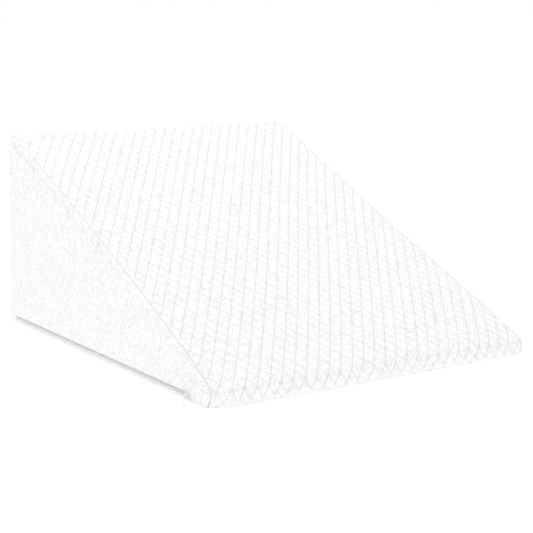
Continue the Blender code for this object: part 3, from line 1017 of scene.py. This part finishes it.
# %% Tube along a path
def tube(points, radius, sides, closed=False):
    """Points and faces of a thin tube along a path, with rings square to it."""
    points = np.array(points, float)
    if closed:
        ahead = np.roll(points, -1, axis=0) - np.roll(points, 1, axis=0)
    else:
        ahead = np.gradient(points, axis=0)
    ahead /= np.linalg.norm(ahead, axis=1)[:, None]
    helper = np.where(np.abs(ahead[:, 2:]) > 0.9, np.array([[1.0, 0, 0]]), np.array([[0, 0, 1.0]]))
    side = np.cross(ahead, helper)
    side /= np.linalg.norm(side, axis=1)[:, None]
    up = np.cross(side, ahead)
    angles = np.linspace(0.0, math.tau, sides, endpoint=False)
    rings = points[:, None] + radius * (
        side[:, None] * np.cos(angles)[:, None] + up[:, None] * np.sin(angles)[:, None]
    )
    faces = []
    rows = len(points)
    for row in range(rows if closed else rows - 1):
        here, there = row * sides, (row + 1) % rows * sides
        for place in range(sides):
            after = (place + 1) % sides
            faces.append((here + place, here + after, there + after, there + place))
    if not closed:
        faces.append(tuple(range(sides))[::-1])
        faces.append(tuple(range((rows - 1) * sides, rows * sides)))
    return rings.reshape(-1, 3), faces


# %% Object from points and faces
def build(name, parts, finish):
    """One object from several lots of points and faces, riding on the pillow's body."""
    points, faces, first = [], [], 0
    for part_points, part_faces in parts:
        points.append(np.array(part_points))
        faces += [tuple(number + first for number in face) for face in part_faces]
        first += len(part_points)
    mesh = bpy.data.meshes.new(name)
    mesh.from_pydata(np.concatenate(points).tolist(), [], faces)
    mesh.shade_smooth()
    mesh.materials.append(finish.material)
    made = linked(name, mesh)
    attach(made, "root")
    print(name, sum(len(face) - 2 for face in faces), "triangles")
    return made


# %% Two hooked coils
COIL_PITCH = 1.25 * MM
COIL_WIRE = 0.42 * MM
COIL_OVERLAP = 0.5 * MM
COIL_POINTS = 9
coil_low, coil_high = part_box("zip_coil")
coil_middle = (coil_low + coil_high) / 2
coil_turns = int((coil_high.y - coil_low.y) / COIL_PITCH)
coil_reach = (coil_high.z - coil_low.z) / 2
coil_half_depth = (coil_high.x - coil_low.x) / 2 - COIL_WIRE


def coil_path(hand):
    turns = np.arange(coil_turns * COIL_POINTS + 1) / COIL_POINTS
    angle = turns * math.tau
    loop_height = (coil_reach + COIL_OVERLAP) / 2 - COIL_WIRE
    centre_z = coil_middle.z + hand * (coil_reach - COIL_OVERLAP) / 2
    shift = COIL_PITCH / 2 * (hand > 0)
    y = coil_low.y + shift + turns * COIL_PITCH * (coil_turns - 0.5) / coil_turns
    return np.stack([
        coil_middle.x + coil_half_depth * np.sin(angle),
        y,
        centre_z + hand * loop_height * np.cos(angle),
    ], axis=1)


teeth = build("zip_teeth", [tube(coil_path(hand), COIL_WIRE, 4) for hand in (-1, 1)], nylon)
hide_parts("zip_coil")

# %% [markdown]
# ## Slider and pull
#
# The slider is two shield-shaped plates, wide where the coils part and narrow where they leave
# hooked, joined by a rim along both edges. A low bridge on the front plate carries the pull, which
# is a wire ring clamped in a small flat tab. CAD has them as simple solids, which fix their place.


# %% Plate from its edge
def raise_plate(edge, thickness):
    """A mesh in the making: the flat edge's points, raised along a vector into a plate."""
    bm = bmesh.new()
    face = bm.faces.new([bm.verts.new(point) for point in edge])
    raised = bmesh.ops.extrude_face_region(bm, geom=[face])["geom"]
    lifted = [item for item in raised if isinstance(item, bmesh.types.BMVert)]
    bmesh.ops.translate(bm, vec=thickness, verts=lifted)
    bmesh.ops.recalc_face_normals(bm, faces=bm.faces)
    return bm


def taken_out(bm):
    """Points and faces of a finished plate."""
    bm.verts.index_update()
    points = [tuple(vert.co) for vert in bm.verts]
    faces = [tuple(vert.index for vert in face.verts) for face in bm.faces]
    bm.free()
    return points, faces


# %% Shield-shaped plate
def shield(low, high, near_x, far_x, bevel):
    """A plate between two depths, wide at the front and narrow at the back, with soft edges."""
    middle_z = (low.z + high.z) / 2
    wide = (high.z - low.z) / 2
    outline_points = ((0.0, 0.62), (0.12, 0.95), (0.3, 1.0), (0.55, 0.86), (0.85, 0.74), (1.0, 0.6))
    edge = []
    for hand in (-1, 1):
        for along, half in outline_points[:: -hand]:
            y = low.y + along * (high.y - low.y)
            edge.append((near_x, y, middle_z + hand * half * wide))
    bm = raise_plate(edge, (far_x - near_x, 0, 0))
    bmesh.ops.bevel(bm, geom=bm.edges[:], offset=bevel, segments=3, profile=0.5, affect="EDGES")
    return taken_out(bm)


# %% Slider
PLATE = 1.0 * MM
PLATE_BEVEL = 0.35 * MM
RIM_REACH = 0.72
RIM_TAPER = 0.1
RIM_WIRE = 0.55 * MM
BRIDGE_HALF_GAP = 0.45 * MM
slider_low, slider_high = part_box("zip_slider")
SLIDER_DEPTH = 3.8 * MM
BRIDGE_HALF_LENGTH = 3.6 * MM
BRIDGE_WIRE = 0.62 * MM
face_x = slider_high.x - SLIDER_DEPTH
slider_middle = (slider_low + slider_high) / 2
front_plate = shield(slider_low, slider_high, face_x, face_x + PLATE, PLATE_BEVEL)
back_plate = shield(slider_low, slider_high, slider_high.x - PLATE, slider_high.x, PLATE_BEVEL)
rims = []
for hand in (-1, 1):
    rim_z = slider_middle.z + hand * RIM_REACH * (slider_high.z - slider_low.z) / 2
    rim_y = np.linspace(slider_low.y + 2.2 * MM, slider_high.y - 1.2 * MM, 8)
    for depth in (0.3, 0.5, 0.7):
        rim_x = face_x + SLIDER_DEPTH * depth
        path = [(rim_x, y, rim_z - hand * RIM_TAPER * (y - rim_y[0])) for y in rim_y]
        rims.append(tube(path, RIM_WIRE, 8))
top_x = slider_low.x + BRIDGE_WIRE
arch_angles = np.linspace(0.0, math.pi, 13)
arch = [(face_x + (top_x - face_x) * math.sin(angle) ** 0.6 + 0.3 * MM * (angle in (0.0, math.pi)),
         slider_middle.y - BRIDGE_HALF_LENGTH * math.cos(angle), slider_middle.z)
        for angle in arch_angles]
offsets = (-BRIDGE_HALF_GAP, BRIDGE_HALF_GAP)
bridge = [tube(np.array(arch) + (0, 0, offset), BRIDGE_WIRE, 8) for offset in offsets]
slider = build("zip_runner", [front_plate, back_plate, *rims, *bridge], enamel)
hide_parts("zip_slider")

# %% Pull
PULL_DROOP = math.radians(27)
PULL_SWING = math.radians(57)
PULL_RING = 3.7 * MM
PULL_WIRE = 0.62 * MM
TAB_LENGTH = 17 * MM
TAB_WIDTH = 7 * MM
TAB_NECK = 4 * MM
TAB_THICKNESS = 1.5 * MM
BRIDGE_ROOM = 2.7 * MM
TAB_OVERLAP = 0.4 * MM
TAB_RIM = 1.0 * MM
TAB_RECESS = 0.3 * MM
TAB_BEVEL = 0.3 * MM
pull_level = Vector((-math.cos(PULL_SWING), -math.sin(PULL_SWING), 0))
pull_along = pull_level * math.cos(PULL_DROOP) - Vector((0, 0, math.sin(PULL_DROOP)))
pull_axis = pull_level.cross(Vector((0, 0, 1)))
pull_flat = pull_axis.cross(pull_along)
pull_start = Vector((face_x - BRIDGE_ROOM / 2, slider_middle.y, slider_middle.z))
ring_centre = pull_start + pull_along * PULL_RING


def pull_place(along, flat, across):
    """A place given along the pull, out of its flat face, and across it."""
    return tuple(ring_centre + pull_along * along + pull_flat * flat + pull_axis * across)


ring = []
for angle in np.linspace(0.0, math.tau, 28, endpoint=False):
    ring.append(pull_place(PULL_RING * math.cos(angle), PULL_RING * math.sin(angle), 0.0))

tab_start = PULL_RING - TAB_OVERLAP
tab_edge = []
shape = ((0.0, 0.75), (0.04, 0.95), (0.12, 1.0), (0.5, 1.0), (0.88, 1.0), (0.97, 0.9), (1.0, 0.7))
for hand in (-1, 1):
    for along, swell in shape[:: -hand]:
        half = (TAB_NECK + (TAB_WIDTH - TAB_NECK) * along) / 2 * swell
        tab_edge.append((tab_start + TAB_LENGTH * along, -TAB_THICKNESS / 2, hand * half))
bm = raise_plate(tab_edge, (0, TAB_THICKNESS, 0))
panes = [face for face in bm.faces if len(face.verts) > 4]
bmesh.ops.inset_individual(bm, faces=panes, thickness=TAB_RIM, depth=0.0)
for face in panes:
    middle = face.calc_center_median()
    inward = -math.copysign(TAB_RECESS, middle.y)
    bmesh.ops.translate(bm, vec=(0, inward, 0), verts=face.verts)
hard = [edge for edge in bm.edges if edge.calc_face_angle(0.0) > math.radians(50)]
bmesh.ops.bevel(bm, geom=hard, offset=TAB_BEVEL, segments=3, profile=0.5, affect="EDGES")
tab_points, tab_faces = taken_out(bm)
tab = ([pull_place(*point) for point in tab_points], tab_faces)
pull = build("zip_pull_tab", [tube(ring, PULL_WIRE, 10, closed=True), tab], enamel)
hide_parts("zip_pull")

# %% [markdown]
# ## Stitches in the seams
#
# The panels are sewn from the inside, so only short bits of thread show at the bottom of a seam.
# Each is a small capsule that bridges the furrow. They follow the seam's own line on the form.


# %% Stitches along a line
STITCH_LENGTH = 2.1 * MM
STITCH_PITCH = 3.1 * MM
STITCH_RADIUS = 0.24 * MM
STITCH_SINK = 0.95 * MM


def stitches(path, inward):
    """Capsules at an even pitch along a path, sunk along the matching inward directions."""
    steps = np.concatenate([[0.0], np.cumsum(np.linalg.norm(np.diff(path, axis=0), axis=1))])
    parts = []
    for start in np.arange(STITCH_PITCH, steps[-1] - STITCH_PITCH, STITCH_PITCH):
        along = start + STITCH_LENGTH * np.array([0.0, 0.12, 0.5, 0.88, 1.0])
        place = np.stack([np.interp(along, steps, path[:, axis]) for axis in range(3)], axis=1)
        sink = np.stack([np.interp(along, steps, inward[:, axis]) for axis in range(3)], axis=1)
        droop = STITCH_SINK + np.array([0.25, 0.05, 0.0, 0.05, 0.25]) * MM
        parts.append(tube(place + sink * droop[:, None], STITCH_RADIUS, 6))
    return parts


tangent = np.gradient(FRONT_TO_BACK, axis=0)
tangent /= np.linalg.norm(tangent, axis=1)[:, None]
for hand, side_name in ((-1, "zip_side"), (1, "plain_side")):
    x = np.full((len(FRONT_TO_BACK), 1), hand * SEAM_X)
    seam_line = stuffed(np.hstack([x, FRONT_TO_BACK]))
    inward = np.stack([np.zeros(len(tangent)), tangent[:, 1], -tangent[:, 0]], axis=1)
    shown = seam_line[:, 2] > FOOT_SEAM
    build("seam_stitches_" + side_name, stitches(seam_line[shown], inward[shown]), thread)

# %% A finish for the tape
tape = bpy.data.objects["zip_tape"]
tape.material_slots[0].material = tape_finish.material

# %% [markdown]
# ## Camera, light and floor
#
# The photo is a catalogue picture: white floor, white walls, and a soft light from above and a
# little behind. The camera's place and lens come from matching the wedge's outline.

# %% Camera
camera_data = bpy.data.cameras.new("camera")
camera_data.lens = 92.9
camera_data.sensor_width = 36.0
camera = linked("camera", camera_data)
CAMERA_YAW = math.radians(33.64)
CAMERA_PITCH = math.radians(10.55)
camera.location = (MIDDLE_X - 1.2532, -1.9257, 0.5507)
camera.rotation_euler = (math.pi / 2 - CAMERA_PITCH, 0.0, -CAMERA_YAW)
bpy.context.scene.camera = camera

# %% White room
world = bpy.data.worlds.new("white_room")
world.use_nodes = True
bpy.context.scene.world = world
sky = world.node_tree.nodes["Background"]
sky.inputs["Color"].default_value = (1.0, 1.0, 1.0, 1.0)
sky.inputs["Strength"].default_value = 1.0
bpy.context.scene.view_settings.view_transform = "Standard"

# %% Soft lamp
LAMP_HEADING = Vector((-0.08, 0.25, 0.96))
LAMP_DISTANCE = 3.0
lamp_data = bpy.data.lights.new("soft_box", "AREA")
lamp_data.energy = 11.0
lamp_data.size = 0.9
lamp = linked("soft_box", lamp_data)
lamp.location = LAMP_HEADING.normalized() * LAMP_DISTANCE
lamp.rotation_euler = LAMP_HEADING.to_track_quat("Z", "Y").to_euler()

# %% Floor
FLOOR_REACH = 60.0
paper = Finish("white_paper", Roughness=0.9, Base_Color=(0.15, 0.15, 0.15, 1.0))
paper.shader.inputs["Emission Color"].default_value = (1.0, 1.0, 1.0, 1.0)
paper.shader.inputs["Emission Strength"].default_value = 0.94
floor_mesh = bpy.data.meshes.new("floor")
corners = [(-FLOOR_REACH, -FLOOR_REACH, 0), (FLOOR_REACH, -FLOOR_REACH, 0)]
corners += [(FLOOR_REACH, FLOOR_REACH, 0), (-FLOOR_REACH, FLOOR_REACH, 0)]
floor_mesh.from_pydata(corners, [], [(0, 1, 2, 3)])
floor_mesh.materials.append(paper.material)
floor = linked("floor", floor_mesh)
